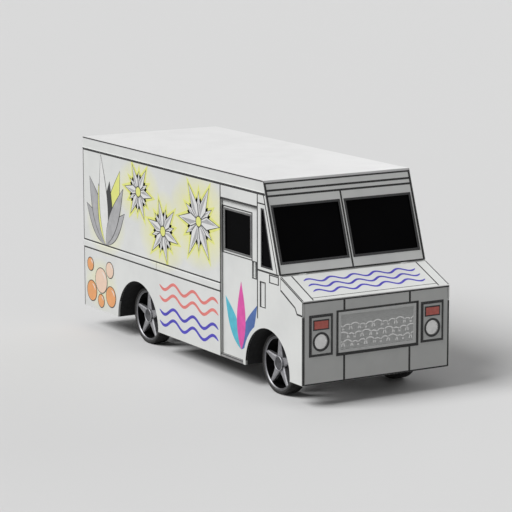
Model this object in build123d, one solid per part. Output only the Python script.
from build123d import *
import math
import os

# A walk-in delivery van. Millimetres: +X forward, +Y to the van's left, +Z up, ground at Z = 0.
# A size ending in _BACK is a distance behind the flat nose; one ending in _Z is a height above ground.

# Body shell
BODY_LENGTH = 6290.0
BODY_WIDTH = 2300.0
ROOF_Z = 2870.0
ROOF_T = 30.0
ROOF_SKIN = 5.0
ROOF_BOWS = 7
BOW_W = 60.0
SILL_Z = 300.0
WALL = 30.0
CANT_RAIL_H = 145.0
DRIP_H = 14.0
DRIP_PROUD = 8.0
RUB_RAIL_Z = 1212.0
RUB_RAIL_H = 95.0
RUB_RAIL_PROUD = 12.0
FLOOR_T = 40.0

# Nose, hood and windscreen
NOSE_T = 30.0
HOOD_FRONT_Z = 1420.0
SCREEN_BASE_BACK = 580.0
SCREEN_BASE_Z = 1665.0
SCREEN_TOP_BACK = 995.0
SCREEN_T = 45.0
PANE_POST = 90.0
PANE_SIDE = 60.0
PANE_RISE = 150.0
PANE_DROP = 330.0
COWL_D = 80.0
COWL_H = 75.0
DASH_PANEL_T = 20.0
HOOD_T = 25.0
HOOD_GAP = 6.0
CLAM_GAP = 12.0
CLAM_NOSE_DROP = 208.0
CLAM_STEP_BACK = 146.0
CLAM_STEP_DROP = 204.0
CLAM_RISE_BACK = 196.0
CLAM_RISE_DROP = 127.0
CLAM_REAR_DROP = 201.0
HINGE_R = 8.0
HINGE_PIN_R = 4.0
HINGE_LEN = 100.0
HINGE_FIT = 0.3
HINGE_END_GAP = 1.0
HOOD_HINGE_SIDE = 350.0
HOOD_HINGE_GAP = 14.0

# Grille and lamps in the nose
BEZEL_PROUD = 12.0
BEZEL_SIDE = 110.0
BEZEL_W = 330.0
BEZEL_H = 520.0
BEZEL_DROP = 210.0
BEZEL_LAND = 20.0
BEZEL_FACE = 6.0
BEZEL_BORDER = 18.0
SIGNAL_W = 210.0
SIGNAL_H = 103.0
SIGNAL_IN = 60.0
SIGNAL_DROP = 68.0
HEADLAMP_IN = 165.0
HEADLAMP_RISE = 175.0
HEADLAMP_R = 108.0
HEADLAMP_DEPTH = 40.0
HEADLAMP_DOME = 12.0
LAMP_FIT = 0.3
GRILLE_GAP = 100.0
GRILLE_DROP = 193.0
GRILLE_H = 539.0
GRILLE_BORDER = 40.0
GRILLE_LAND = 25.0
GRILLE_SLAT_H = 10.0
GRILLE_SLAT_GAP = 3.0
GRILLE_DEPTH = 14.0
GRILLE_FIT = 0.5
PANEL_LINE_IN = 95.0
PANEL_LINE_W = 14.0
PANEL_LINE_D = 4.0

# Cab doors: each slides back into a pocket inside the wall
DOOR_BEHIND_SCREEN = 155.0
DOOR_W = 990.0
DOOR_HEAD_DROP = 375.0
DOOR_T = 36.0
DOOR_CLEAR = 5.0
DOOR_LAP = 25.0
DOOR_STRIP = 60.0
DOOR_TRAVEL = 930.0
DOOR_GLASS_FRONT = 238.0
DOOR_GLASS_REAR = 50.0
DOOR_GLASS_H = 563.0
DOOR_GLASS_DROP = 142.0
DOOR_GLASS_REBATE = 38.0
DOOR_GLASS_REBATE_D = 5.0
GLASS_T = 8.0
GLASS_FIT = 0.5
HANDLE_IN = 82.0
HANDLE_W = 100.0
HANDLE_H = 221.0
HANDLE_Z = 1517.0
HANDLE_D = 20.0
HANDLE_BAR = 26.0
TRACK_W = 26.0
TRACK_H = 30.0
TRACK_ABOVE = 30.0
ROLLER_R = 20.0
ROLLER_FIT = 0.3
HANGER_T = 8.0
HANGER_W = 70.0
HANGER_IN = 160.0
STEP_T = 40.0
STEP_RISER = 10.0
STEP_W = 460.0

# Quarter windows and the tall recesses in the front quarters
QUARTER_POST_REAR = 100.0
QUARTER_POST_HEAD = 79.0
QUARTER_POST_FOOT = 119.0
QUARTER_RISE = 58.0
QUARTER_DROP = 381.0
GRAB_IN = 79.0
GRAB_W = 116.0
GRAB_H = 325.0
GRAB_DROP = 159.0
GRAB_D = 8.0

# Rear end: a portal with two doors on outside hinges
PORTAL_T = 60.0
DOORWAY_SIDE = 140.0
DOORWAY_HEAD_DROP = 230.0
REAR_DOOR_T = 40.0
REAR_DOOR_GAP = 6.0
REAR_HINGE_R = 10.0
REAR_HINGE_PIN_R = 5.0
REAR_HINGE_OUT = 13.0
REAR_HINGE_LEAF = 110.0
REAR_HINGE_LEAF_T = 6.0
REAR_HINGE_SEAT = 80.0
REAR_HINGE_END = 140.0
REAR_HINGES = 3
REAR_PANELS = 4
REAR_PANEL_D = 6.0
REAR_PANEL_BAND = 70.0
REAR_PANEL_IN = 220.0
REAR_PANEL_EDGE = 120.0
PULL_PROUD = 35.0
PULL_R = 9.0
PULL_IN = 110.0
PULL_RISE = 490.0
PULL_H = 250.0
TAIL_LAMP_EDGE = 25.0
TAIL_LAMP_Z = 980.0
TAIL_LAMP_H = 220.0
TAIL_LAMP_T = 14.0
TOW_HOLE_R = 7.0
TOW_SPAN_Y = 85.7
TOW_SPAN_Z = 44.5
TOW_Z = 500.0

# Wheels
TYRE_R = 415.0
TYRE_W = 235.0
TYRE_WALL_H = 50.0
TYRE_CROWN_IN = 13.0
TYRE_BEAD_IN = 26.0
WHEEL_INSET = 150.0
RIM_SHY = 12.0
RIM_LIP_T = 8.0
RIM_LIP_H = 15.0
RIM_T = 12.0
RIM_FLARE = 12.0
BEAD_FIT = 0.3
SPOKES = 5
SPOKE_ROOT_W = 150.0
SPOKE_TIP_W = 44.0
SPOKE_T = 45.0
SPOKE_BEVEL = 14.0
SPOKE_FACE_IN = 14.0
HUB_R = 105.0
HUB_IN = 5.0
HUB_OUT = 82.0
HUB_CAP_R = 48.0
HUB_CAP_D = 12.0
HUB_BORE_D = 28.0
SPINDLE_R = 35.0
SPINDLE_SHORT = 4.0

# Wheel arches and the housings inside them
FRONT_AXLE_BACK = 890.0
REAR_OVERHANG = 1720.0
FRONT_ARCH_BEHIND = 8.0
FRONT_ARCH_CLEAR = 158.0
FRONT_ARCH_BELOW = 86.0
REAR_ARCH_BEHIND = 2.0
REAR_ARCH_CLEAR = 209.0
REAR_ARCH_BELOW = 107.0
HOUSING_T = 8.0
HOUSING_FIT = 0.5
REAR_HOUSING_CLEAR = 50.0
FRONT_HOUSING_WALL_UP = 305.0
REAR_HOUSING_WALL_UP = 105.0

# Chassis
RAIL_ABOVE_AXLE = 145.0
RAIL_TO_HOUSING = 70.0
RAIL_W = 80.0
RAIL_H = 140.0
RAIL_T = 8.0
RAIL_FRONT_BACK = 60.0
CROSS_W = 60.0
CROSS_H = 100.0
FRONT_CROSS_BACK = 90.0
MID_CROSS_BEHIND_GEARBOX = 120.0
REAR_CROSS_AHEAD = 990.0
END_CROSS_AHEAD = 170.0
BEARER_W = 60.0
BEARER_H = 20.0
BEARERS = 6
BEARER_AHEAD = 190.0
SPRING_W = 66.0
SPRING_T = 40.0
SPRING_LEN = 1150.0
SPRING_LEAVES = 4
SPRING_LEAF_STEP = 110.0
SPRING_EYE_R = 24.0
SPRING_HANG = 30.0
BEAM_W = 70.0
BEAM_H = 76.0
BEAM_POCKET = 22.0
BEAM_FLANGE = 14.0
KINGPIN_IN = 82.5
KINGPIN_R = 14.0
BOSS_R = 36.0
EAR_T = 18.0
EAR_GAP = 2.0
PIN_FIT = 0.3
WEB_OUT = 42.0
WEB_T = 20.0
DRUM_R = 170.0
DRUM_T = 18.0
ARM_L = 200.0
ARM_W = 32.0
ARM_PIN_R = 9.0
TIE_EYE_R = 20.0
TIE_EYE_H = 24.0
TIE_ROD_R = 11.0
AXLE_TUBE_R = 55.0
DIFF_R = 140.0
DIFF_HALF_W = 105.0
DIFF_TAPER = 150.0
SPRING_SEAT_UP = 65.0
SPRING_SEAT_L = 110.0

# Engine, drive line, tank and exhaust
ENGINE_FRONT_BACK = 330.0
ENGINE_L = 850.0
ENGINE_W = 580.0
ENGINE_H = 610.0
ENGINE_BELOW_RAIL = 40.0
ENGINE_TO_RAIL = 60.0
ENGINE_MOUNT = 60.0
GEARBOX_L = 460.0
GEARBOX_HALF_W = 130.0
GEARBOX_H = 170.0
PROPSHAFT_R = 36.0
PROPSHAFT_BELOW_RAIL = 10.0
DIFF_GAP = 0.5
TANK_BEHIND_AXLE = 480.0
TANK_L = 760.0
TANK_H = 220.0
TANK_TO_RAIL = 50.0
TANK_ROUND = 40.0
EXHAUST_R = 28.0
EXHAUST_BEND = 90.0
EXHAUST_PORT_UP = 60.0
EXHAUST_BELOW_RAIL = 60.0
EXHAUST_BESIDE_GEARBOX = 90.0
EXHAUST_KINK_AHEAD = 140.0
MUFFLER_R = 78.0
MUFFLER_L = 620.0
MUFFLER_AHEAD = 895.0
TAIL_STRAIGHT = 150.0
TAIL_TURN = 300.0
TAIL_L = 250.0
TAIL_BESIDE_RAIL = 160.0
STRAP_W = 30.0
STRAP_T = 15.0
STRAP_IN = 100.0

# Cab interior
DASH_D = 220.0
DASH_H = 235.0
DASH_BELOW_SCREEN = 30.0
DASH_SIDE_GAP = 60.0
DASH_ROUND = 25.0
DASH_PANEL_ABOVE_ENGINE = 20.0
COVER_BEHIND_ENGINE = 150.0
COVER_ABOVE_ENGINE = 130.0
COVER_TO_HOUSING = 130.0
COVER_T = 12.0
COVER_ROUND = 30.0
SEAT_BESIDE_COVER = 80.0
SEAT_BEHIND_COVER = 230.0
SEAT_W = 450.0
SEAT_DEPTH = 480.0
SEAT_H = 370.0
CUSHION_T = 110.0
SEAT_BACK_H = 620.0
SEAT_BACK_T = 110.0
SEAT_LEAN = 90.0
PEDESTAL_W = 300.0
PEDESTAL_D = 300.0
STEER_BEHIND_COWL = 490.0
STEER_ABOVE_DASH = 100.0
STEER_RAKE = 50.0
COLUMN_R = 28.0
COLUMN_L = 520.0
COLUMN_GAP = 6.0
BRACKET_W = 40.0
BRACKET_BEHIND_COWL = 180.0
STEER_RIM_R = 210.0
STEER_TUBE = 14.0
STEER_HUB_R = 45.0
STEER_HUB_T = 34.0
STEER_SPOKE_W = 36.0
STEER_SPOKE_T = 12.0
STEER_SHAFT_R = 12.0
STEER_SHAFT_L = 60.0

# Lengthways places
X_NOSE = (BODY_LENGTH + PULL_PROUD - BEZEL_PROUD) / 2
X_REAR = X_NOSE - BODY_LENGTH
REAR_AXLE_BACK = BODY_LENGTH - REAR_OVERHANG
FRONT_ARCH_BACK = FRONT_AXLE_BACK + FRONT_ARCH_BEHIND
REAR_ARCH_BACK = REAR_AXLE_BACK + REAR_ARCH_BEHIND
DOOR_FRONT_BACK = SCREEN_TOP_BACK + DOOR_BEHIND_SCREEN
DOOR_REAR_BACK = DOOR_FRONT_BACK + DOOR_W
COWL_REAR_BACK = SCREEN_BASE_BACK + COWL_D
ENGINE_REAR_BACK = ENGINE_FRONT_BACK + ENGINE_L
GEARBOX_REAR_BACK = ENGINE_REAR_BACK + GEARBOX_L
COVER_REAR_BACK = ENGINE_REAR_BACK + COVER_BEHIND_ENGINE
SEAT_FRONT_BACK = COVER_REAR_BACK + SEAT_BEHIND_COVER
STEER_BACK = COWL_REAR_BACK + STEER_BEHIND_COWL
HOOD_AXIS_BACK = SCREEN_BASE_BACK - HINGE_R - HOOD_GAP
HOOD_REAR_BACK = HOOD_AXIS_BACK - HOOD_HINGE_GAP
POCKET_BACK = DOOR_REAR_BACK + DOOR_TRAVEL + DOOR_LAP + 4 * DOOR_CLEAR

# Crossways places
Y_OUT = BODY_WIDTH / 2
Y_IN = Y_OUT - WALL
DOOR_Y1 = Y_IN - DOOR_CLEAR
DOOR_Y0 = DOOR_Y1 - DOOR_T
POCKET_Y = DOOR_Y0 - DOOR_CLEAR
STEP_IN_Y = Y_OUT - STEP_W
WHEEL_Y = Y_OUT - WHEEL_INSET - TYRE_W / 2
KINGPIN_Y = WHEEL_Y - KINGPIN_IN
DRUM_Y = KINGPIN_Y + WEB_OUT + WEB_T
SPINDLE_END_Y = WHEEL_Y + HUB_IN + HUB_BORE_D - SPINDLE_SHORT
REAR_HOUSING_Y = WHEEL_Y - TYRE_W / 2 - REAR_HOUSING_CLEAR
ENGINE_HALF_W = ENGINE_W / 2
RAIL_Y0 = ENGINE_HALF_W + ENGINE_TO_RAIL
RAIL_Y1 = RAIL_Y0 + RAIL_W
RAIL_Y = (RAIL_Y0 + RAIL_Y1) / 2
FRONT_HOUSING_Y = RAIL_Y1 + RAIL_TO_HOUSING
COVER_HALF_W = FRONT_HOUSING_Y - COVER_TO_HOUSING
SEAT_Y = COVER_HALF_W + SEAT_BESIDE_COVER
BEZEL_Y1 = Y_OUT - BEZEL_SIDE
BEZEL_Y0 = BEZEL_Y1 - BEZEL_W
GRILLE_HALF_W = BEZEL_Y0 - GRILLE_GAP
DOORWAY_HALF_W = Y_OUT - DOORWAY_SIDE

# Heights
ROOF_UNDER_Z = ROOF_Z - ROOF_T
CANT_Z = ROOF_UNDER_Z - CANT_RAIL_H
DOOR_HEAD_Z = ROOF_Z - DOOR_HEAD_DROP
DOORWAY_HEAD_Z = ROOF_Z - DOORWAY_HEAD_DROP
TRACK_Z = DOOR_HEAD_Z + DOOR_LAP + TRACK_ABOVE
DOOR_GLASS_Z1 = DOOR_HEAD_Z - DOOR_GLASS_DROP
DOOR_GLASS_Z0 = DOOR_GLASS_Z1 - DOOR_GLASS_H
WALL_JOINT_Z = RUB_RAIL_Z + RUB_RAIL_H / 2
STEP_Z = SILL_Z + STEP_T
AXLE_Z = TYRE_R
RAIL_Z0 = AXLE_Z + RAIL_ABOVE_AXLE
RAIL_Z1 = RAIL_Z0 + RAIL_H
CROSS_Z0 = RAIL_Z1 - RAIL_T - CROSS_H
FLOOR_UNDER_Z = RAIL_Z1 + BEARER_H
FLOOR_Z = FLOOR_UNDER_Z + FLOOR_T
ENGINE_Z0 = RAIL_Z0 - ENGINE_BELOW_RAIL
ENGINE_Z1 = ENGINE_Z0 + ENGINE_H
DASH_PANEL_Z = ENGINE_Z1 + DASH_PANEL_ABOVE_ENGINE
COVER_Z1 = ENGINE_Z1 + COVER_ABOVE_ENGINE
COWL_Z = SCREEN_BASE_Z - COWL_H
DASH_Z1 = SCREEN_BASE_Z - DASH_BELOW_SCREEN
DASH_Z0 = DASH_Z1 - DASH_H
STEER_Z = DASH_Z0 + STEER_ABOVE_DASH
SEAT_Z = FLOOR_Z + SEAT_H
EXHAUST_Z = RAIL_Z0 - EXHAUST_BELOW_RAIL
CLAM_NOSE_Z = HOOD_FRONT_Z - CLAM_NOSE_DROP
CLAM_STEP_Z = HOOD_FRONT_Z - CLAM_STEP_DROP
CLAM_RISE_Z = HOOD_FRONT_Z - CLAM_RISE_DROP
CLAM_REAR_Z = SCREEN_BASE_Z - CLAM_REAR_DROP
BEZEL_Z1 = HOOD_FRONT_Z - BEZEL_DROP
BEZEL_Z0 = BEZEL_Z1 - BEZEL_H
GRILLE_Z1 = HOOD_FRONT_Z - GRILLE_DROP
GRILLE_Z0 = GRILLE_Z1 - GRILLE_H

# Radii, slopes and other shared values
FRONT_ARCH_R = TYRE_R + FRONT_ARCH_CLEAR
FRONT_ARCH_Z = AXLE_Z - FRONT_ARCH_BELOW
REAR_ARCH_R = TYRE_R + REAR_ARCH_CLEAR
REAR_ARCH_Z = AXLE_Z - REAR_ARCH_BELOW
STEP_FRONT_BACK = FRONT_ARCH_BACK + FRONT_ARCH_R + DOOR_STRIP + DOOR_CLEAR
RIM_R = TYRE_R - TYRE_WALL_H
RIM_SEAT_R = RIM_R - RIM_LIP_H
RIM_BARREL_R = RIM_SEAT_R - RIM_T
RIM_OUT = TYRE_W / 2 - RIM_SHY
SCREEN_LEAN = (SCREEN_TOP_BACK - SCREEN_BASE_BACK) / (ROOF_Z - SCREEN_BASE_Z)
SCREEN_SKEW = math.hypot(1.0, SCREEN_LEAN)
HOOD_SLOPE = (SCREEN_BASE_Z - HOOD_FRONT_Z) / SCREEN_BASE_BACK
HOOD_DROP = HOOD_T * math.hypot(1.0, HOOD_SLOPE)
HOOD_AXIS_Z = HOOD_FRONT_Z + HOOD_SLOPE * HOOD_AXIS_BACK - HINGE_R / 4
BEARER_PITCH = (BODY_LENGTH - BEARER_AHEAD - SEAT_FRONT_BACK) / (BEARERS - 1)
BEARER_BACKS = [SEAT_FRONT_BACK + index * BEARER_PITCH for index in range(BEARERS)]


def back(distance):
    """X of a place given as a distance behind the nose."""
    return X_NOSE - distance


def screen_back(z, depth=0.0):
    """Distance behind the nose of the leaning windscreen's face at a height, or of a depth inside it."""
    return SCREEN_BASE_BACK + (z - SCREEN_BASE_Z) * SCREEN_LEAN + depth * SCREEN_SKEW


def hood_z(distance):
    """Height of the hood's top face at a distance behind the nose."""
    return HOOD_FRONT_Z + HOOD_SLOPE * distance


def block(b0, b1, y0, y1, z0, z1):
    """A box between two distances behind the nose, two y planes and two heights."""
    size = Box(abs(b1 - b0), abs(y1 - y0), abs(z1 - z0))
    return Pos(back((b0 + b1) / 2), (y0 + y1) / 2, (z0 + z1) / 2) * size


def plate(points, y0, y1):
    """A side-view outline of (distance behind the nose, height), as thick as two y planes."""
    plane = Plane((0, y1, 0), x_dir=(1, 0, 0), z_dir=(0, -1, 0))
    face = plane * Polygon(*[(back(b), z) for b, z in points])
    return extrude(face, amount=y1 - y0, dir=(0, -1, 0))


def disc(b, z, radius, y0, y1):
    """A round bar across the van."""
    return Pos(back(b), (y0 + y1) / 2, z) * Rot(90, 0, 0) * Cylinder(radius, y1 - y0)


def post(b, y, radius, z0, z1):
    """An upright round bar."""
    return Pos(back(b), y, (z0 + z1) / 2) * Cylinder(radius, z1 - z0)


def rod(start, end, radius):
    """A round bar between two points."""
    axis = Vector(*end) - Vector(*start)
    bottom = (Align.CENTER, Align.CENTER, Align.MIN)
    return Plane(start, z_dir=axis) * Cylinder(radius, axis.length, align=bottom)


def right(left):
    """The right-hand twin of a left-hand piece."""
    return mirror(left, about=Plane.XZ)


def both(left):
    """A left-hand piece and its right-hand twin."""
    return [left, right(left)]


# Fixed panels of the body


def roof():
    """A thin skin whose bows are left standing between hollow bays."""
    outline = [
        (screen_back(ROOF_Z), ROOF_Z),
        (screen_back(ROOF_UNDER_Z), ROOF_UNDER_Z),
        (BODY_LENGTH, ROOF_UNDER_Z),
        (BODY_LENGTH, ROOF_Z),
    ]
    panel = plate(outline, -Y_OUT, Y_OUT)
    first = screen_back(ROOF_UNDER_Z, SCREEN_T)
    bays = ROOF_BOWS + 1
    bay = (BODY_LENGTH - PORTAL_T - first - ROOF_BOWS * BOW_W) / bays
    for index in range(bays):
        b = first + index * (bay + BOW_W)
        panel -= block(b, b + bay, -Y_IN, Y_IN, ROOF_UNDER_Z - 1, ROOF_Z - ROOF_SKIN)
    return panel


def cant_rail():
    outline = [
        (screen_back(CANT_Z, SCREEN_T), CANT_Z),
        (BODY_LENGTH - PORTAL_T, CANT_Z),
        (BODY_LENGTH - PORTAL_T, ROOF_UNDER_Z),
        (screen_back(ROOF_UNDER_Z, SCREEN_T), ROOF_UNDER_Z),
    ]
    drip_b = screen_back(CANT_Z, SCREEN_T)
    drip = block(drip_b, BODY_LENGTH, Y_OUT, Y_OUT + DRIP_PROUD, CANT_Z, CANT_Z + DRIP_H)
    return plate(outline, Y_IN, Y_OUT) + drip


def side_wall():
    return block(DOOR_REAR_BACK, BODY_LENGTH - PORTAL_T, Y_IN, Y_OUT, WALL_JOINT_Z, CANT_Z)


def skirt():
    panel = block(DOOR_REAR_BACK, BODY_LENGTH - PORTAL_T, Y_IN, Y_OUT, SILL_Z, WALL_JOINT_Z)
    return panel - disc(REAR_ARCH_BACK, REAR_ARCH_Z, REAR_ARCH_R, Y_IN - 1, Y_OUT + 1)


def rub_rail():
    rail_top = RUB_RAIL_Z + RUB_RAIL_H
    return block(DOOR_REAR_BACK, BODY_LENGTH, Y_OUT, Y_OUT + RUB_RAIL_PROUD, RUB_RAIL_Z, rail_top)


def door_header():
    panel = block(DOOR_FRONT_BACK, DOOR_REAR_BACK, Y_IN, Y_OUT, DOOR_HEAD_Z, CANT_Z)
    track = block(DOOR_FRONT_BACK, POCKET_BACK, Y_IN - TRACK_W, Y_IN, TRACK_Z, TRACK_Z + TRACK_H)
    return panel + track


def cab_pillar():
    outline = [
        (DOOR_FRONT_BACK, SCREEN_BASE_Z),
        (DOOR_FRONT_BACK, CANT_Z),
        (screen_back(CANT_Z, SCREEN_T), CANT_Z),
        (screen_back(SCREEN_BASE_Z, SCREEN_T), SCREEN_BASE_Z),
    ]
    return plate(outline, Y_IN, Y_OUT) - quarter_window(0.0, Y_IN - 1, Y_OUT + 1)


def quarter_window(shrink, y0, y1):
    z0 = SCREEN_BASE_Z + QUARTER_RISE
    z1 = ROOF_Z - QUARTER_DROP
    rear = DOOR_FRONT_BACK - QUARTER_POST_REAR - shrink
    outline = [
        (rear, z1 - shrink),
        (screen_back(z1, SCREEN_T) + QUARTER_POST_HEAD + shrink, z1 - shrink),
        (screen_back(z0, SCREEN_T) + QUARTER_POST_FOOT + shrink, z0 + shrink),
        (rear, z0 + shrink),
    ]
    return plate(outline, y0, y1)


def fender():
    outline = [
        (NOSE_T, SILL_Z),
        (NOSE_T, CLAM_NOSE_Z),
        (CLAM_STEP_BACK, CLAM_STEP_Z),
        (CLAM_RISE_BACK, CLAM_RISE_Z),
        (HOOD_REAR_BACK + CLAM_GAP, CLAM_REAR_Z),
        (HOOD_REAR_BACK + CLAM_GAP, SCREEN_BASE_Z),
        (DOOR_FRONT_BACK, SCREEN_BASE_Z),
        (DOOR_FRONT_BACK, SILL_Z),
    ]
    strip_r = FRONT_ARCH_R + DOOR_STRIP
    strip = disc(FRONT_ARCH_BACK, FRONT_ARCH_Z, strip_r, Y_IN, Y_OUT)
    strip &= block(FRONT_ARCH_BACK, FRONT_ARCH_BACK + strip_r, Y_IN, Y_OUT, SILL_Z, FRONT_ARCH_Z + strip_r)
    panel = plate(outline, Y_IN, Y_OUT) + strip
    panel -= disc(FRONT_ARCH_BACK, FRONT_ARCH_Z, FRONT_ARCH_R, Y_IN - 1, Y_OUT + 1)
    grab_b = DOOR_FRONT_BACK - GRAB_IN
    grab_z = SCREEN_BASE_Z - GRAB_DROP
    recess = block(grab_b - GRAB_W, grab_b, Y_OUT - GRAB_D, Y_OUT + 1, grab_z - GRAB_H, grab_z)
    return panel - recess


def screen_pane(shrink, depth0, depth1):
    """A left-hand windscreen pane between two depths in the frame."""
    z0 = SCREEN_BASE_Z + PANE_RISE + shrink
    z1 = ROOF_Z - PANE_DROP - shrink
    outline = [
        (screen_back(z0, depth0), z0),
        (screen_back(z1, depth0), z1),
        (screen_back(z1, depth1), z1),
        (screen_back(z0, depth1), z0),
    ]
    return plate(outline, PANE_POST / 2 + shrink, Y_OUT - PANE_SIDE - shrink)


def hood_hinge(fixed):
    """The left-hand hood hinge: the outer knuckle with the pin, or the inner knuckle that turns on it."""
    y = Y_OUT - HOOD_HINGE_SIDE
    half = HINGE_LEN / 2
    leaf_z = HOOD_AXIS_Z - HINGE_R
    if fixed:
        barrel = disc(HOOD_AXIS_BACK, HOOD_AXIS_Z, HINGE_PIN_R, y - half, y + half)
        barrel += disc(HOOD_AXIS_BACK, HOOD_AXIS_Z, HINGE_R, y + HINGE_END_GAP, y + half)
        leaf = block(HOOD_AXIS_BACK, SCREEN_BASE_BACK + 1, y + HINGE_END_GAP, y + half, leaf_z, HOOD_AXIS_Z)
        return barrel + leaf
    barrel = disc(HOOD_AXIS_BACK, HOOD_AXIS_Z, HINGE_R, y - half, y)
    barrel += block(HOOD_REAR_BACK - HINGE_R, HOOD_AXIS_BACK, y - half, y, leaf_z, HOOD_AXIS_Z)
    return barrel - disc(HOOD_AXIS_BACK, HOOD_AXIS_Z, HINGE_PIN_R + HINGE_FIT, y - half - 1, y + 1)


def windshield_frame():
    outline = [
        (screen_back(SCREEN_BASE_Z), SCREEN_BASE_Z),
        (screen_back(ROOF_UNDER_Z), ROOF_UNDER_Z),
        (screen_back(ROOF_UNDER_Z, SCREEN_T), ROOF_UNDER_Z),
        (screen_back(SCREEN_BASE_Z, SCREEN_T), SCREEN_BASE_Z),
    ]
    frame = plate(outline, -Y_OUT, Y_OUT)
    for pane in both(screen_pane(0.0, -1.0, SCREEN_T + 1.0)):
        frame -= pane
    frame += block(SCREEN_BASE_BACK, COWL_REAR_BACK, -Y_IN, Y_IN, COWL_Z, SCREEN_BASE_Z)
    frame += block(COWL_REAR_BACK - DASH_PANEL_T, COWL_REAR_BACK, -Y_IN, Y_IN, DASH_PANEL_Z, COWL_Z)
    for hinge in both(hood_hinge(True)):
        frame += hinge
    return frame


def cab_glass():
    depth0 = (SCREEN_T - GLASS_T) / 2
    windscreen = screen_pane(GLASS_FIT, depth0, depth0 + GLASS_T)
    y0 = Y_IN + (WALL - GLASS_T) / 2
    return both(windscreen) + both(quarter_window(GLASS_FIT, y0, y0 + GLASS_T))


def hood():
    top = [
        (0.0, HOOD_FRONT_Z),
        (HOOD_REAR_BACK, hood_z(HOOD_REAR_BACK)),
        (HOOD_REAR_BACK, hood_z(HOOD_REAR_BACK) - HOOD_DROP),
        (0.0, HOOD_FRONT_Z - HOOD_DROP),
    ]
    lid = plate(top, -Y_OUT, Y_OUT)
    side = [
        (0.0, HOOD_FRONT_Z),
        (HOOD_REAR_BACK, hood_z(HOOD_REAR_BACK)),
        (HOOD_REAR_BACK, CLAM_REAR_Z + CLAM_GAP),
        (CLAM_RISE_BACK, CLAM_RISE_Z + CLAM_GAP),
        (CLAM_STEP_BACK, CLAM_STEP_Z + CLAM_GAP),
        (0.0, CLAM_NOSE_Z + CLAM_GAP),
    ]
    for flank in both(plate(side, Y_OUT - HOOD_T, Y_OUT)):
        lid += flank
    for hinge in both(hood_hinge(False)):
        lid += hinge
    return lid


def nose_panel():
    top_z = HOOD_FRONT_Z - HOOD_DROP - HOOD_GAP
    panel = block(0.0, NOSE_T, -Y_OUT, Y_OUT, SILL_Z, CLAM_NOSE_Z)
    inner_y = Y_OUT - HOOD_T - HOOD_GAP
    panel += block(0.0, NOSE_T, -inner_y, inner_y, CLAM_NOSE_Z, top_z)
    land = GRILLE_HALF_W - GRILLE_LAND
    panel -= block(-1.0, NOSE_T + 1, -land, land, GRILLE_Z0 + GRILLE_LAND, GRILLE_Z1 - GRILLE_LAND)
    lamp = block(
        -1.0,
        NOSE_T + 1,
        BEZEL_Y0 + BEZEL_LAND,
        BEZEL_Y1 - BEZEL_LAND,
        BEZEL_Z0 + BEZEL_LAND,
        BEZEL_Z1 - BEZEL_LAND,
    )
    line_y0 = GRILLE_HALF_W - PANEL_LINE_IN - PANEL_LINE_W / 2
    line = block(-1.0, PANEL_LINE_D, line_y0, line_y0 + PANEL_LINE_W, SILL_Z - 1, top_z + 1)
    for cut in both(lamp) + both(line):
        panel -= cut
    return panel


def grille():
    frame = block(-BEZEL_PROUD, 0.0, -GRILLE_HALF_W, GRILLE_HALF_W, GRILLE_Z0, GRILLE_Z1)
    inner_y = GRILLE_HALF_W - GRILLE_BORDER
    inner_z0 = GRILLE_Z0 + GRILLE_BORDER
    inner_z1 = GRILLE_Z1 - GRILLE_BORDER
    frame -= block(-BEZEL_PROUD - 1, 1.0, -inner_y, inner_y, inner_z0, inner_z1)
    slat_y = GRILLE_HALF_W - GRILLE_LAND - GRILLE_FIT
    pitch = GRILLE_SLAT_H + GRILLE_SLAT_GAP
    count = int((inner_z1 - inner_z0) / pitch)
    first = (inner_z0 + inner_z1) / 2 - (count - 1) * pitch / 2
    for row in range(count):
        mid = first + row * pitch
        slat_z = mid - GRILLE_SLAT_H / 2
        frame += block(-BEZEL_PROUD / 2, GRILLE_DEPTH, -slat_y, slat_y, slat_z, slat_z + GRILLE_SLAT_H)
    return frame


def signal_opening(shrink, b0, b1):
    y0 = BEZEL_Y0 + SIGNAL_IN + shrink
    y1 = BEZEL_Y0 + SIGNAL_IN + SIGNAL_W - shrink
    z1 = BEZEL_Z1 - SIGNAL_DROP - shrink
    z0 = BEZEL_Z1 - SIGNAL_DROP - SIGNAL_H + shrink
    return block(b0, b1, y0, y1, z0, z1)


def headlamp():
    """A round lamp body whose lens is the cap of a wide sphere."""
    y = BEZEL_Y0 + HEADLAMP_IN
    z = BEZEL_Z0 + HEADLAMP_RISE
    lamp_r = HEADLAMP_R - LAMP_FIT
    lens_r = (lamp_r**2 + HEADLAMP_DOME**2) / (2 * HEADLAMP_DOME)
    body = rod((X_NOSE - HEADLAMP_DEPTH, y, z), (X_NOSE + BEZEL_PROUD, y, z), lamp_r)
    return body & Pos(X_NOSE + BEZEL_PROUD - lens_r, y, z) * Sphere(lens_r)


def lamp_bezel():
    bezel = block(-BEZEL_PROUD, 0.0, BEZEL_Y0, BEZEL_Y1, BEZEL_Z0, BEZEL_Z1)
    bezel -= block(
        -BEZEL_PROUD - 1,
        -BEZEL_FACE,
        BEZEL_Y0 + BEZEL_BORDER,
        BEZEL_Y1 - BEZEL_BORDER,
        BEZEL_Z0 + BEZEL_BORDER,
        BEZEL_Z1 - BEZEL_BORDER,
    )
    bezel -= signal_opening(0.0, -BEZEL_PROUD - 1, 1.0)
    lamp_y = BEZEL_Y0 + HEADLAMP_IN
    lamp_z = BEZEL_Z0 + HEADLAMP_RISE
    return bezel - rod((X_NOSE - 1, lamp_y, lamp_z), (X_NOSE + BEZEL_PROUD + 1, lamp_y, lamp_z), HEADLAMP_R)


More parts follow.
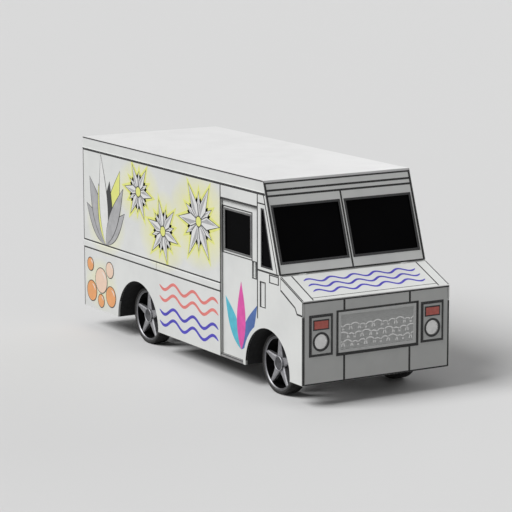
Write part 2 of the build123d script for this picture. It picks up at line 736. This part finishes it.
def signal_lamps():
    front = signal_opening(LAMP_FIT, -BEZEL_PROUD, HEADLAMP_DEPTH / 2)
    y0 = DOORWAY_HALF_W + TAIL_LAMP_EDGE
    y1 = Y_OUT - TAIL_LAMP_EDGE
    tail_z1 = TAIL_LAMP_Z + TAIL_LAMP_H
    tail = block(BODY_LENGTH, BODY_LENGTH + TAIL_LAMP_T, y0, y1, TAIL_LAMP_Z, tail_z1)
    return both(front) + both(tail)


# Floor, steps, housings and rear end


def floor():
    slab_z = (FLOOR_UNDER_Z, FLOOR_Z)
    deck = block(POCKET_BACK, BODY_LENGTH - PORTAL_T, -Y_IN, Y_IN, *slab_z)
    deck += block(DOOR_REAR_BACK, POCKET_BACK, -POCKET_Y, POCKET_Y, *slab_z)
    cab_y = STEP_IN_Y
    deck += block(COVER_REAR_BACK, DOOR_REAR_BACK, -cab_y, cab_y, *slab_z)
    toe_y = FRONT_HOUSING_Y - HOUSING_FIT
    for toe in both(block(COWL_REAR_BACK, COVER_REAR_BACK, COVER_HALF_W, toe_y, *slab_z)):
        deck += toe
    for b in BEARER_BACKS:
        deck += block(b - BEARER_W / 2, b + BEARER_W / 2, -cab_y, cab_y, RAIL_Z1, FLOOR_UNDER_Z)
    clear_r = REAR_ARCH_R + HOUSING_T + HOUSING_FIT
    tub = disc(REAR_ARCH_BACK, REAR_ARCH_Z, clear_r, REAR_HOUSING_Y - HOUSING_FIT, Y_IN + 1)
    for cut in both(tub):
        deck -= cut
    return deck


def door_step():
    tray = block(STEP_FRONT_BACK, DOOR_REAR_BACK, STEP_IN_Y, Y_OUT, SILL_Z, STEP_Z)
    riser = STEP_IN_Y + STEP_RISER
    tray += block(STEP_FRONT_BACK, DOOR_REAR_BACK, STEP_IN_Y, riser, SILL_Z, FLOOR_Z)
    for b in (STEP_FRONT_BACK, DOOR_REAR_BACK - STEP_RISER):
        tray += block(b, b + STEP_RISER, STEP_IN_Y, POCKET_Y, SILL_Z, FLOOR_Z)
    return tray


def wheel_housing(arch_back, arch_z, radius, inner_y, wall_z):
    """An arched tunnel over a wheel, with a wall on its inner side."""
    outer = radius + HOUSING_T
    shell = disc(arch_back, arch_z, outer, inner_y, Y_IN)
    shell -= disc(arch_back, arch_z, radius, inner_y + HOUSING_T, Y_IN + 1)
    keep = block(arch_back - outer, arch_back + outer, inner_y, Y_IN, SILL_Z, arch_z + outer)
    shell &= keep
    opening = disc(arch_back, arch_z, radius, inner_y - 1, inner_y + HOUSING_T + 1)
    opening &= block(arch_back - outer, arch_back + outer, inner_y - 1, Y_IN, SILL_Z - 1, wall_z)
    return shell - opening


def wheel_housings():
    front_z = AXLE_Z + FRONT_HOUSING_WALL_UP
    rear_z = AXLE_Z + REAR_HOUSING_WALL_UP
    front = wheel_housing(FRONT_ARCH_BACK, FRONT_ARCH_Z, FRONT_ARCH_R, FRONT_HOUSING_Y, front_z)
    rear = wheel_housing(REAR_ARCH_BACK, REAR_ARCH_Z, REAR_ARCH_R, REAR_HOUSING_Y, rear_z)
    return both(front) + both(rear)


def rear_hinges(fixed):
    """The left-hand row of rear hinges: lower knuckles with pins, or upper knuckles that turn on them."""
    b = BODY_LENGTH + REAR_HINGE_OUT
    y = DOORWAY_HALF_W
    half = HINGE_LEN / 2
    leaf_b = BODY_LENGTH + REAR_HINGE_LEAF_T
    low = FLOOR_Z + REAR_HINGE_END
    pitch = (DOORWAY_HEAD_Z - REAR_HINGE_END - low) / (REAR_HINGES - 1)
    hinges = []
    for index in range(REAR_HINGES):
        z = low + index * pitch
        if fixed:
            hinge = post(b, y, REAR_HINGE_PIN_R, z - half, z + half)
            hinge += post(b, y, REAR_HINGE_R, z - half, z - HINGE_END_GAP)
            hinge += block(BODY_LENGTH, leaf_b, y, y + REAR_HINGE_SEAT, z - half, z - HINGE_END_GAP)
        else:
            hinge = post(b, y, REAR_HINGE_R, z, z + half)
            hinge += block(BODY_LENGTH, leaf_b, y - REAR_HINGE_LEAF, y, z, z + half)
            hinge -= post(b, y, REAR_HINGE_PIN_R + HINGE_FIT, z - 1, z + half + 1)
        hinges.append(hinge)
    return hinges


def rear_portal():
    portal = block(BODY_LENGTH - PORTAL_T, BODY_LENGTH, -Y_OUT, Y_OUT, SILL_Z, ROOF_UNDER_Z)
    inside = BODY_LENGTH - PORTAL_T - 1
    half = DOORWAY_HALF_W
    portal -= block(inside, BODY_LENGTH + 1, -half, half, FLOOR_Z, DOORWAY_HEAD_Z)
    for left in rear_hinges(True):
        for hinge in both(left):
            portal += hinge
    for y in (-TOW_SPAN_Y / 2, TOW_SPAN_Y / 2):
        for z in (TOW_Z - TOW_SPAN_Z / 2, TOW_Z + TOW_SPAN_Z / 2):
            portal -= rod((X_REAR - 1, y, z), (X_REAR + PORTAL_T + 1, y, z), TOW_HOLE_R)
    return portal


def rear_door():
    edge_y = DOORWAY_HALF_W - REAR_DOOR_GAP
    z0 = FLOOR_Z + REAR_DOOR_GAP
    z1 = DOORWAY_HEAD_Z - REAR_DOOR_GAP
    door = block(BODY_LENGTH - REAR_DOOR_T, BODY_LENGTH, REAR_DOOR_GAP / 2, edge_y, z0, z1)
    pitch = (z1 - z0 - REAR_PANEL_BAND) / REAR_PANELS
    face_b = BODY_LENGTH - REAR_PANEL_D
    for index in range(REAR_PANELS):
        low = z0 + REAR_PANEL_BAND + index * pitch
        high = low + pitch - REAR_PANEL_BAND
        door -= block(face_b, BODY_LENGTH + 1, REAR_PANEL_IN, edge_y - REAR_PANEL_EDGE, low, high)
    for hinge in rear_hinges(False):
        door += hinge
    bar_b = BODY_LENGTH + PULL_PROUD - PULL_R
    pull_z0 = FLOOR_Z + PULL_RISE
    pull_z1 = pull_z0 + PULL_H
    door += post(bar_b, PULL_IN, PULL_R, pull_z0, pull_z1)
    for z in (pull_z0 + PULL_R, pull_z1 - PULL_R):
        door += rod((X_REAR + 1, PULL_IN, z), (back(bar_b), PULL_IN, z), PULL_R)
    return door


# Cab doors


def door_window(grow, y0, y1):
    """The cab door's window opening, grown or shrunk all round, between two y planes."""
    b0 = DOOR_FRONT_BACK + DOOR_GLASS_FRONT - grow
    b1 = DOOR_REAR_BACK - DOOR_GLASS_REAR + grow
    return block(b0, b1, y0, y1, DOOR_GLASS_Z0 - grow, DOOR_GLASS_Z1 + grow)


def cab_door():
    z1 = DOOR_HEAD_Z + DOOR_LAP
    b0 = DOOR_FRONT_BACK - DOOR_LAP
    b1 = DOOR_REAR_BACK + DOOR_LAP
    door = block(b0, b1, DOOR_Y0, DOOR_Y1, STEP_Z + DOOR_CLEAR, z1)
    cut_r = FRONT_ARCH_R + DOOR_STRIP - DOOR_LAP
    door -= disc(FRONT_ARCH_BACK, FRONT_ARCH_Z, cut_r, DOOR_Y0 - 1, DOOR_Y1 + 1)
    door -= door_window(0.0, DOOR_Y0 - 1, DOOR_Y1 + 1)
    door -= door_window(DOOR_GLASS_REBATE, DOOR_Y1 - DOOR_GLASS_REBATE_D, DOOR_Y1 + 1)
    cup_b = DOOR_FRONT_BACK + HANDLE_IN
    cup_z1 = HANDLE_Z + HANDLE_H
    door -= block(cup_b, cup_b + HANDLE_W, DOOR_Y1 - HANDLE_D, DOOR_Y1 + 1, HANDLE_Z, cup_z1)
    bar_b = cup_b + (HANDLE_W - HANDLE_BAR) / 2
    bar_y = DOOR_Y1 - HANDLE_D / 2
    door += block(bar_b, bar_b + HANDLE_BAR, bar_y, DOOR_Y1, HANDLE_Z - 1, cup_z1 + 1)
    axle_z = TRACK_Z + TRACK_H + ROLLER_R + ROLLER_FIT
    half = HANGER_W / 2
    plate_y = DOOR_Y0 + HANGER_T
    for b in (b0 + HANGER_IN, b1 - HANGER_IN):
        door += block(b - half, b + half, DOOR_Y0, plate_y, z1 - 1, axle_z + ROLLER_R)
        door += disc(b, axle_z, ROLLER_R, plate_y - 1, DOOR_Y1)
    return door


def door_glass():
    mid_y = (DOOR_Y0 + DOOR_Y1) / 2
    return door_window(-GLASS_FIT, mid_y - GLASS_T / 2, mid_y + GLASS_T / 2)


# Chassis, axles and steering


def frame_rail():
    """A channel that opens towards the middle of the van."""
    rear = BODY_LENGTH - PORTAL_T
    front = RAIL_FRONT_BACK
    rail = block(front, rear, RAIL_Y0, RAIL_Y1, RAIL_Z0, RAIL_Z1)
    web_y = RAIL_Y1 - RAIL_T
    return rail - block(front - 1, rear + 1, RAIL_Y0 - 1, web_y, RAIL_Z0 + RAIL_T, RAIL_Z1 - RAIL_T)


def cross_members():
    mid_b = GEARBOX_REAR_BACK + MID_CROSS_BEHIND_GEARBOX
    rear_b = BODY_LENGTH - REAR_CROSS_AHEAD
    backs = (FRONT_CROSS_BACK, mid_b, (mid_b + rear_b) / 2, rear_b, BODY_LENGTH - END_CROSS_AHEAD)
    web_y = RAIL_Y1 - RAIL_T
    half = CROSS_W / 2
    return [block(b - half, b + half, -web_y, web_y, CROSS_Z0, CROSS_Z0 + CROSS_H) for b in backs]


def leaf_spring(axle_back, seat_z):
    """A stepped pack of bowed leaves that sits on an axle and hangs from the rail by its rolled eyes."""
    half = SPRING_LEN / 2
    leaf_t = SPRING_T / SPRING_LEAVES
    eye_z = RAIL_Z0 - SPRING_HANG
    sag = eye_z + leaf_t / 2 - seat_z - SPRING_T
    bow_r = (half**2 + sag**2) / (2 * sag)
    centre_z = seat_z + SPRING_T + bow_r
    y0 = RAIL_Y - SPRING_W / 2
    y1 = RAIL_Y + SPRING_W / 2
    plane = Plane((back(axle_back), y1, centre_z), x_dir=(1, 0, 0), z_dir=(0, -1, 0))
    spring = None
    for index in range(SPRING_LEAVES):
        r0 = bow_r + index * leaf_t
        r1 = r0 + leaf_t
        reach = math.asin((half - index * SPRING_LEAF_STEP) / bow_r)
        x = math.sin(reach)
        z = -math.cos(reach)
        arcs = [
            ThreePointArc((-r0 * x, r0 * z), (0, -r0), (r0 * x, r0 * z)),
            Line((r0 * x, r0 * z), (r1 * x, r1 * z)),
            ThreePointArc((r1 * x, r1 * z), (0, -r1), (-r1 * x, r1 * z)),
            Line((-r1 * x, r1 * z), (-r0 * x, r0 * z)),
        ]
        leaf = extrude(plane * make_face(arcs), amount=SPRING_W, dir=(0, -1, 0))
        spring = leaf if spring is None else spring + leaf
    for b in (axle_back - half, axle_back + half):
        spring += disc(b, eye_z, SPRING_EYE_R, y0, y1)
        spring += block(b - SPRING_EYE_R, b + SPRING_EYE_R, y0, y1, eye_z, RAIL_Z0)
    return spring


def leaf_springs():
    front = leaf_spring(FRONT_AXLE_BACK, AXLE_Z + BEAM_H / 2)
    rear = leaf_spring(REAR_AXLE_BACK, AXLE_Z + SPRING_SEAT_UP)
    return both(front) + both(rear)


def front_axle():
    half_w = BEAM_W / 2
    z0 = AXLE_Z - BEAM_H / 2
    z1 = AXLE_Z + BEAM_H / 2
    b = FRONT_AXLE_BACK
    beam = block(b - half_w, b + half_w, -KINGPIN_Y, KINGPIN_Y, z0, z1)
    pocket_y = KINGPIN_Y - 2 * BOSS_R
    for side in (-1, 1):
        outer = b + side * (half_w + 1)
        inner = b + side * (half_w - BEAM_POCKET)
        beam -= block(outer, inner, -pocket_y, pocket_y, z0 + BEAM_FLANGE, z1 - BEAM_FLANGE)
    for y in (-KINGPIN_Y, KINGPIN_Y):
        beam += post(b, y, BOSS_R, z0, z1)
        beam -= post(b, y, KINGPIN_R + PIN_FIT, z0 - 1, z1 + 1)
    return beam


def rear_axle():
    b = REAR_AXLE_BACK
    axle = disc(b, AXLE_Z, AXLE_TUBE_R, -DRUM_Y, DRUM_Y)
    end = DIFF_HALF_W + DIFF_TAPER
    housing = [(0, -end), (DIFF_R, -DIFF_HALF_W), (DIFF_R, DIFF_HALF_W), (0, end)]
    axle += Pos(back(b), 0, AXLE_Z) * revolve(Polygon(*housing), Axis.Y)
    half = SPRING_SEAT_L / 2
    y0 = RAIL_Y - SPRING_W / 2
    seat = block(b - half, b + half, y0, y0 + SPRING_W, AXLE_Z, AXLE_Z + SPRING_SEAT_UP)
    drum = disc(b, AXLE_Z, DRUM_R, DRUM_Y - DRUM_T, DRUM_Y)
    stub = disc(b, AXLE_Z, SPINDLE_R, DRUM_Y - 1, SPINDLE_END_Y)
    for piece in both(seat) + both(drum) + both(stub):
        axle += piece
    return axle


def knuckle():
    b = FRONT_AXLE_BACK
    y = KINGPIN_Y
    half = BEAM_H / 2 + EAR_GAP
    top = half + EAR_T
    web_y = y + WEB_OUT
    piece = post(b, y, KINGPIN_R, AXLE_Z - top, AXLE_Z + top)
    for z0 in (AXLE_Z + half, AXLE_Z - top):
        piece += post(b, y, BOSS_R, z0, z0 + EAR_T)
        piece += block(b - BOSS_R, b + BOSS_R, y, web_y + 1, z0, z0 + EAR_T)
    piece += block(b - BOSS_R, b + BOSS_R, web_y, web_y + WEB_T, AXLE_Z - top, AXLE_Z + top)
    piece += disc(b, AXLE_Z, DRUM_R, DRUM_Y - DRUM_T, DRUM_Y)
    piece += disc(b, AXLE_Z, SPINDLE_R, DRUM_Y - 1, SPINDLE_END_Y)
    arm_b = b + ARM_L
    arm_z = AXLE_Z - top
    piece += block(b, arm_b, y - ARM_W / 2, y + ARM_W / 2, arm_z, arm_z + EAR_T)
    piece += post(arm_b, y, ARM_W / 2, arm_z, arm_z + EAR_T)
    piece += post(arm_b, y, ARM_PIN_R, arm_z - TIE_EYE_H - EAR_GAP, arm_z + 1)
    return piece


def tie_rod():
    arm_b = FRONT_AXLE_BACK + ARM_L
    top = AXLE_Z - BEAM_H / 2 - 2 * EAR_GAP - EAR_T
    mid = top - TIE_EYE_H / 2
    bar = disc(arm_b, mid, TIE_ROD_R, -KINGPIN_Y, KINGPIN_Y)
    for y in (-KINGPIN_Y, KINGPIN_Y):
        bar += post(arm_b, y, TIE_EYE_R, top - TIE_EYE_H, top)
        bar -= post(arm_b, y, ARM_PIN_R + PIN_FIT, top - TIE_EYE_H - 1, top + 1)
    return bar


# Engine and drive line


def engine_block():
    engine = block(ENGINE_FRONT_BACK, ENGINE_REAR_BACK, -ENGINE_HALF_W, ENGINE_HALF_W, ENGINE_Z0, ENGINE_Z1)
    half = GEARBOX_HALF_W
    engine += block(ENGINE_REAR_BACK - 1, GEARBOX_REAR_BACK, -half, half, ENGINE_Z0, ENGINE_Z0 + GEARBOX_H)
    b0 = (ENGINE_FRONT_BACK + ENGINE_REAR_BACK - ENGINE_MOUNT) / 2
    z0 = (RAIL_Z0 + RAIL_Z1 - ENGINE_MOUNT) / 2
    web_y = RAIL_Y1 - RAIL_T
    for mount in both(block(b0, b0 + ENGINE_MOUNT, ENGINE_HALF_W - 1, web_y, z0, z0 + ENGINE_MOUNT)):
        engine += mount
    return engine


def propshaft():
    start_z = RAIL_Z0 - PROPSHAFT_BELOW_RAIL
    end_b = REAR_AXLE_BACK - DIFF_R - DIFF_GAP
    start_b = GEARBOX_REAR_BACK
    shaft = rod((back(start_b), 0, start_z), (back(end_b), 0, AXLE_Z), PROPSHAFT_R)
    over = 2 * PROPSHAFT_R
    return shaft - block(start_b - over, start_b, -over, over, start_z - over, start_z + over)


def fuel_tank():
    """A tank with rounded long edges, slung below the cross members behind the rear axle."""
    front = REAR_AXLE_BACK + TANK_BEHIND_AXLE
    half = RAIL_Y0 - TANK_TO_RAIL
    tank = block(front, front + TANK_L, -half, half, CROSS_Z0 - TANK_H, CROSS_Z0)
    return fillet(tank.edges().filter_by(Axis.X), TANK_ROUND)


def exhaust():
    """A pipe from the engine's rear face between the rails, through a muffler, then out under the rail."""
    y = GEARBOX_HALF_W + EXHAUST_BESIDE_GEARBOX
    port_z = ENGINE_Z0 + EXHAUST_PORT_UP
    end_b = REAR_AXLE_BACK - SPRING_LEN / 2 - MUFFLER_AHEAD
    start_b = end_b - MUFFLER_L
    turn_b = end_b + TAIL_STRAIGHT
    out_b = turn_b + TAIL_TURN
    out_y = RAIL_Y1 + TAIL_BESIDE_RAIL
    points = [
        (back(ENGINE_REAR_BACK), y, port_z),
        (back(GEARBOX_REAR_BACK - EXHAUST_KINK_AHEAD), y, EXHAUST_Z),
        (back(turn_b), y, EXHAUST_Z),
        (back(out_b), out_y, EXHAUST_Z),
        (back(out_b + TAIL_L), out_y, EXHAUST_Z),
    ]
    path = FilletPolyline(*points, radius=EXHAUST_BEND)
    pipe = sweep(Plane(path @ 0, z_dir=path % 0) * Circle(EXHAUST_R), path)
    pipe += rod((back(start_b), y, EXHAUST_Z), (back(end_b), y, EXHAUST_Z), MUFFLER_R)
    web_y = RAIL_Y1 - RAIL_T
    arm_z = (RAIL_Z0 + RAIL_Z1 - STRAP_T) / 2
    half = STRAP_W / 2
    for b in (start_b + STRAP_IN, end_b - STRAP_IN):
        pipe += block(b - half, b + half, y, y + STRAP_T, EXHAUST_Z + EXHAUST_R / 2, arm_z + STRAP_T)
        pipe += block(b - half, b + half, y, web_y, arm_z, arm_z + STRAP_T)
    over = 3 * EXHAUST_R
    face_b = ENGINE_REAR_BACK
    return pipe - block(face_b - over, face_b, y - over, y + over, port_z - over, port_z + over)


# Wheels, built at the origin with the axle along +Y and the outer face towards +Y


def spoke():
    """One dished spoke with bevelled edges, narrowed from the hub to the tip."""
    reach = RIM_BARREL_R + RIM_T / 2
    tip = RIM_OUT - SPOKE_FACE_IN
    root = SPOKE_ROOT_W / 2
    profile = [
        (0, HUB_IN),
        (HUB_R, HUB_IN),
        (reach, tip - SPOKE_T),
        (reach, tip),
        (0, HUB_OUT),
    ]
    slab = extrude(Polygon(*profile), amount=root, both=True)
    taper = [(0, -root), (reach, -SPOKE_TIP_W / 2), (reach, SPOKE_TIP_W / 2), (0, root)]
    arm = slab & extrude(Plane.XZ * Polygon(*taper), amount=TYRE_W, both=True)
    edges = arm.faces().sort_by(Axis.Y)[-1].edges().sort_by(SortBy.LENGTH)[-2:]
    return chamfer(edges, SPOKE_BEVEL)


def rim():
    ring = [
        (RIM_BARREL_R, -RIM_OUT),
        (RIM_SEAT_R, -RIM_OUT),
        (RIM_SEAT_R, RIM_OUT - RIM_LIP_T),
        (RIM_R, RIM_OUT - RIM_LIP_T),
        (RIM_R, RIM_OUT),
        (RIM_SEAT_R, RIM_OUT),
        (RIM_BARREL_R, RIM_OUT - RIM_FLARE),
    ]
    wheel = revolve(Polygon(*ring), Axis.Y)
    hub_mid = (HUB_IN + HUB_OUT) / 2
    wheel += Pos(0, hub_mid, 0) * Rot(90, 0, 0) * Cylinder(HUB_R, HUB_OUT - HUB_IN)
    arm = spoke()
    for index in range(SPOKES):
        wheel += Rot(0, 360 * index / SPOKES - 90, 0) * arm
    wheel -= Pos(0, HUB_IN + HUB_BORE_D / 2, 0) * Rot(90, 0, 0) * Cylinder(SPINDLE_R + PIN_FIT, HUB_BORE_D)
    return wheel - Pos(0, HUB_OUT, 0) * Rot(90, 0, 0) * Cylinder(HUB_CAP_R, 2 * HUB_CAP_D)


def tyre():
    half = TYRE_W / 2
    seat_r = RIM_SEAT_R + BEAD_FIT
    crown = half - TYRE_CROWN_IN
    section = [
        (seat_r, -crown),
        (seat_r, half - TYRE_BEAD_IN),
        (TYRE_R, crown),
        (TYRE_R, -crown),
    ]
    return revolve(Polygon(*section), Axis.Y)


def place_wheel(piece, axle_back, side):
    placed = Pos(back(axle_back), WHEEL_Y, AXLE_Z) * piece
    return placed if side > 0 else right(placed)


# Cab interior


def dashboard():
    b0 = COWL_REAR_BACK
    outline = [
        (b0, DASH_Z0),
        (b0, COWL_Z),
        (b0 + DASH_D / 4, DASH_Z1),
        (b0 + 0.9 * DASH_D, DASH_Z1 - DASH_D / 4),
        (b0 + DASH_D, DASH_Z0),
    ]
    dash = plate(outline, -Y_IN + DASH_SIDE_GAP, Y_IN - DASH_SIDE_GAP)
    brows = dash.edges().filter_by(Axis.Y).sort_by(Axis.Z)[-2:]
    return fillet(brows, DASH_ROUND)


def engine_cover():
    cover = block(COWL_REAR_BACK, COVER_REAR_BACK, -COVER_HALF_W, COVER_HALF_W, FLOOR_UNDER_Z, COVER_Z1)
    inner = COVER_HALF_W - COVER_T
    rear = COVER_REAR_BACK - COVER_T
    top = cover.faces().sort_by(Axis.Z)[-1]
    cover = fillet(top.edges().filter_by(Axis.X) + top.edges().sort_by(Axis.X)[:1], COVER_ROUND)
    return cover - block(COWL_REAR_BACK - 1, rear, -inner, inner, FLOOR_UNDER_Z - 1, COVER_Z1 - COVER_T)


def seat():
    y0 = SEAT_Y - SEAT_W / 2
    y1 = SEAT_Y + SEAT_W / 2
    b1 = SEAT_FRONT_BACK + SEAT_DEPTH
    mid = (SEAT_FRONT_BACK + b1) / 2
    half_d = PEDESTAL_D / 2
    half_w = PEDESTAL_W / 2
    chair = block(mid - half_d, mid + half_d, SEAT_Y - half_w, SEAT_Y + half_w, FLOOR_Z, SEAT_Z + 1)
    chair += block(SEAT_FRONT_BACK, b1, y0, y1, SEAT_Z, SEAT_Z + CUSHION_T)
    top = SEAT_Z + CUSHION_T + SEAT_BACK_H
    outline = [
        (b1 - SEAT_BACK_T, SEAT_Z + CUSHION_T / 2),
        (b1 - SEAT_BACK_T + SEAT_LEAN, top),
        (b1 + SEAT_LEAN, top),
        (b1, SEAT_Z + CUSHION_T / 2),
    ]
    return chair + plate(outline, y0, y1)


def steer_plane(along):
    """A plane square to the steering column, a distance along it from the wheel's centre."""
    rake = math.radians(STEER_RAKE)
    axis = Vector(-math.cos(rake), 0, math.sin(rake))
    centre = Vector(back(STEER_BACK), SEAT_Y, STEER_Z) + axis * along
    return Plane(centre, x_dir=(0, 1, 0), z_dir=axis)


def steering_column():
    bottom = (Align.CENTER, Align.CENTER, Align.MIN)
    start = -COLUMN_L - COLUMN_GAP - STEER_HUB_T / 2
    tube = steer_plane(start) * Cylinder(COLUMN_R, COLUMN_L, align=bottom)
    rake = math.radians(STEER_RAKE)
    bracket_b = COWL_REAR_BACK + BRACKET_BEHIND_COWL
    meet_z = STEER_Z - (STEER_BACK - bracket_b) * math.tan(rake)
    half = BRACKET_W / 2
    tube += block(bracket_b - half, bracket_b + half, SEAT_Y - half, SEAT_Y + half, meet_z, DASH_Z0)
    bore = steer_plane(-STEER_HUB_T / 2 - STEER_SHAFT_L - COLUMN_GAP)
    return tube - bore * Cylinder(STEER_SHAFT_R + PIN_FIT, STEER_SHAFT_L + COLUMN_L, align=bottom)


def steering_wheel():
    r = STEER_RIM_R
    t = STEER_TUBE
    ring = [(r - t, 0), (r, -t), (r + t, 0), (r, t)]
    wheel = revolve(Plane.XZ * Polygon(*ring), Axis.Z)
    wheel += Cylinder(STEER_HUB_R, STEER_HUB_T)
    for angle in (90, 210, 330):
        wheel += Rot(0, 0, angle) * Pos(r / 2, 0, 0) * Box(r, STEER_SPOKE_W, STEER_SPOKE_T)
    top = (Align.CENTER, Align.CENTER, Align.MAX)
    wheel += Pos(0, 0, 0) * Cylinder(STEER_SHAFT_R, STEER_HUB_T / 2 + STEER_SHAFT_L, align=top)
    return steer_plane(0.0) * wheel


PIECES = {
    "frame_rails": both(frame_rail()),
    "cross_members": cross_members(),
    "floor": floor(),
    "door_steps": both(door_step()),
    "wheel_housings": wheel_housings(),
    "side_walls": both(side_wall()),
    "skirts": both(skirt()),
    "rub_rails": both(rub_rail()),
    "cant_rails": both(cant_rail()),
    "roof": roof(),
    "door_headers": both(door_header()),
    "cab_pillars": both(cab_pillar()),
    "fenders": both(fender()),
    "windshield_frame": windshield_frame(),
    "cab_glass": cab_glass(),
    "nose_panel": nose_panel(),
    "grille": grille(),
    "lamp_bezels": both(lamp_bezel()),
    "headlamps": both(headlamp()),
    "signal_lamps": signal_lamps(),
    "rear_portal": rear_portal(),
    "hood": hood(),
    "front_axle": front_axle(),
    "rear_axle": rear_axle(),
    "leaf_springs": leaf_springs(),
    "engine_block": engine_block(),
    "propshaft": propshaft(),
    "fuel_tank": fuel_tank(),
    "exhaust": exhaust(),
    "dashboard": dashboard(),
    "engine_cover": engine_cover(),
    "seat": seat(),
    "steering_column": steering_column(),
    "steering_wheel": steering_wheel(),
    "tie_rod": tie_rod(),
}

LEFT_PIECES = {
    "cab_door": cab_door(),
    "door_glass": door_glass(),
    "rear_door": rear_door(),
    "knuckle": knuckle(),
}

for name, piece in LEFT_PIECES.items():
    PIECES[name + "_left"] = piece
    PIECES[name + "_right"] = right(piece)

RIM = rim()
TYRE = tyre()
for name, axle_back in (("front", FRONT_AXLE_BACK), ("rear", REAR_AXLE_BACK)):
    for hand, side in (("left", 1), ("right", -1)):
        PIECES["rim_" + name + "_" + hand] = place_wheel(RIM, axle_back, side)
        PIECES["tyre_" + name + "_" + hand] = place_wheel(TYRE, axle_back, side)

os.makedirs("parts", exist_ok=True)
for name, piece in PIECES.items():
    shapes = piece if isinstance(piece, list) else [piece]
    solids = [solid for shape in shapes for solid in shape.solids()]
    export_step(Compound(children=solids) if len(solids) > 1 else solids[0], "parts/" + name + ".step")
